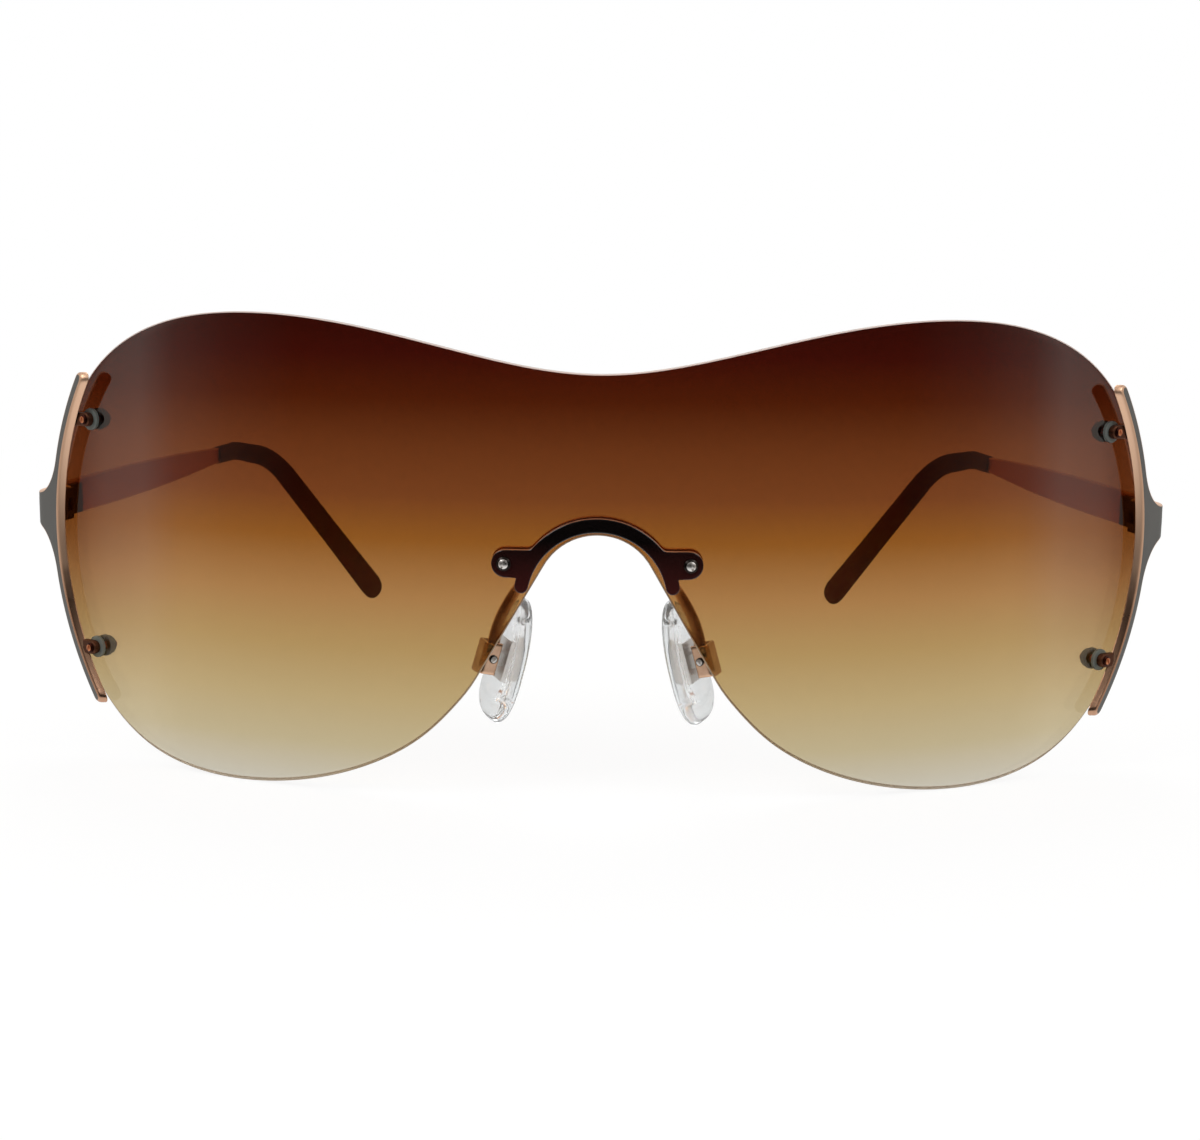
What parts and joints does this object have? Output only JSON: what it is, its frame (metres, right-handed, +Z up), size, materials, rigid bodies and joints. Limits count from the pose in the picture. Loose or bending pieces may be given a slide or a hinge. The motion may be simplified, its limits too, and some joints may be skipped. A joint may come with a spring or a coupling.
{
  "type": "shield sunglasses",
  "caption": "Rimless wraparound shield sunglasses with one curved tinted lens, metal bridge with nose pads, metal endpieces and folding temples with moulded ear tips.",
  "frame": {"origin": "on the table, under the middle of the glasses as they stand open on the lens's lobes and the temple tips", "axes": "+X to the right of someone who faces the lens, +Y from the lens towards the ears, +Z up"},
  "size_m": [0.1462, 0.1446, 0.0561],
  "materials": {
    "tinted_lens": "polished polycarbonate with a brown tint that fades towards the bottom",
    "dark_enamel": "glossy dark enamel on rose coloured metal",
    "grey_enamel": "grey enamel on the outer face, bare rose coloured metal on the edges and inside",
    "rose_metal": "polished rose coloured plating",
    "steel": "bright small screws and nuts",
    "clear_pad": "clear soft moulding",
    "clear_washer": "clear thin plastic",
    "brown_tip": "polished dark brown moulding"
  },
  "bodies": {
    "front": {"shield_lens": "tinted_lens", "bridge_front_plate": "dark_enamel", "bridge_back_plate": "rose_metal", "bridge_screws": "steel", "bridge_washers": "clear_washer", "bridge_nuts": "steel", "lens_screws": "steel", "lens_washers": "clear_washer", "lens_nuts": "steel", "endpiece_right": "grey_enamel", "hinge_front_right": "rose_metal", "hinge_screw_right": "steel", "pad_arm_right": "rose_metal", "pad_box_right": "rose_metal", "pad_screw_right": "steel", "endpiece_left": "grey_enamel", "hinge_front_left": "rose_metal", "hinge_screw_left": "steel", "pad_arm_left": "rose_metal", "pad_box_left": "rose_metal", "pad_screw_left": "steel"},
    "temple_right": {"temple_arm_right": "grey_enamel", "hinge_rear_right": "rose_metal", "temple_tip_right": "brown_tip"},
    "temple_left": {"temple_arm_left": "grey_enamel", "hinge_rear_left": "rose_metal", "temple_tip_left": "brown_tip"},
    "pad_right": {"nose_pad_right": "clear_pad", "pad_insert_right": "steel"},
    "pad_left": {"nose_pad_left": "clear_pad", "pad_insert_left": "steel"}
  },
  "joints": [
    {"name": "temple_right_fold", "type": "hinge", "parent": "front", "child": "temple_right", "pos_m": [0.07054, -0.0355, 0.0303], "axis": [0, 0, 1], "range_deg": [0, 86]},
    {"name": "temple_left_fold", "type": "hinge", "parent": "front", "child": "temple_left", "pos_m": [-0.07054, -0.0355, 0.0303], "axis": [0, 0, -1], "range_deg": [0, 76]},
    {"name": "pad_right_rock", "type": "hinge", "parent": "front", "child": "pad_right", "pos_m": [0.01286, -0.06273, 0.01571], "axis": [0.4526, 0.8829, 0.1247], "range_deg": [-10, 10]},
    {"name": "pad_left_rock", "type": "hinge", "parent": "front", "child": "pad_left", "pos_m": [-0.01286, -0.06273, 0.01571], "axis": [-0.4526, 0.8829, 0.1247], "range_deg": [-10, 10]}
  ]
}
